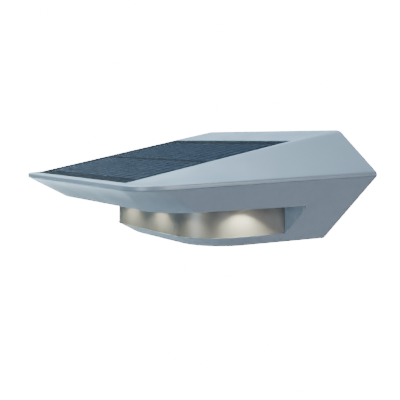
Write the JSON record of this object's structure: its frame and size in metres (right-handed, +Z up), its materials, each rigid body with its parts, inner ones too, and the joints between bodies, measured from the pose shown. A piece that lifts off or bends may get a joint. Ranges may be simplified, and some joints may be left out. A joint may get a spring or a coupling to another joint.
{
  "type": "solar wall light",
  "caption": "Wedge-shaped solar wall light with a flush panel in its sloping roof and a downlit slot round the front and sides, hung on a screwed wall bracket.",
  "frame": {"origin": "on the wall plane, midway between the two wall screw holes of the bracket", "axes": "+X along the wall, +Y into the wall, +Z up; the light points to -Y"},
  "size_m": [0.2768, 0.202, 0.0937],
  "materials": {
    "silver_paint": "satin silver grey paint",
    "satin_band": "satin",
    "pane": "clear, slightly blue",
    "cell_strip": "dark blue",
    "board_black": "matt",
    "foam_tape": "matt",
    "seal_rubber": "matt",
    "screw_steel": "plated",
    "bracket_steel": "zinc plated",
    "window_clear": "frosted",
    "lamp_phosphor": "warm white lamp",
    "lamp_board": "white coated",
    "board_green": "solder mask",
    "board_part": "mixed",
    "cell_wrap": "shrink sleeve",
    "tray_black": "matt",
    "contact_nickel": "nickel plated",
    "button_rubber": "matt",
    "stem_white": "natural",
    "lead_sleeve": "soft sleeve"
  },
  "bodies": {
    "bracket": {"wall_bracket": "bracket_steel"},
    "lamp": {"main_housing": "silver_paint", "top_cover": "silver_paint", "rim_seal": "seal_rubber", "housing_screws": "screw_steel", "panel_glass": "pane", "panel_cells_front": "cell_strip", "panel_cells_back": "cell_strip", "panel_board": "board_black", "panel_tape": "foam_tape", "reflector_band": "satin_band", "led_windows": "window_clear", "leds": "lamp_phosphor", "led_board": "lamp_board", "control_board": "board_green", "board_parts": "board_part", "inner_screws": "screw_steel", "battery_cells": "cell_wrap", "battery_tray": "tray_black", "battery_contacts": "contact_nickel", "battery_cover": "silver_paint", "battery_cover_seal": "seal_rubber", "battery_cover_screws": "screw_steel", "switch_body": "tray_black", "switch_seal": "seal_rubber", "panel_lead": "lead_sleeve", "led_lead": "lead_sleeve", "battery_lead": "lead_sleeve"},
    "button": {"switch_button": "button_rubber", "switch_stem": "stem_white"}
  },
  "joints": [
    {"name": "lift_off", "type": "slide", "parent": "bracket", "child": "lamp", "axis": [0, 0, 1], "range_m": [0, 0.01]},
    {"name": "button_press", "type": "slide", "parent": "lamp", "child": "button", "axis": [0, 0, 1], "range_m": [0, 0.0015], "stiffness_N_per_m": 400, "springref_m": -0.003}
  ]
}
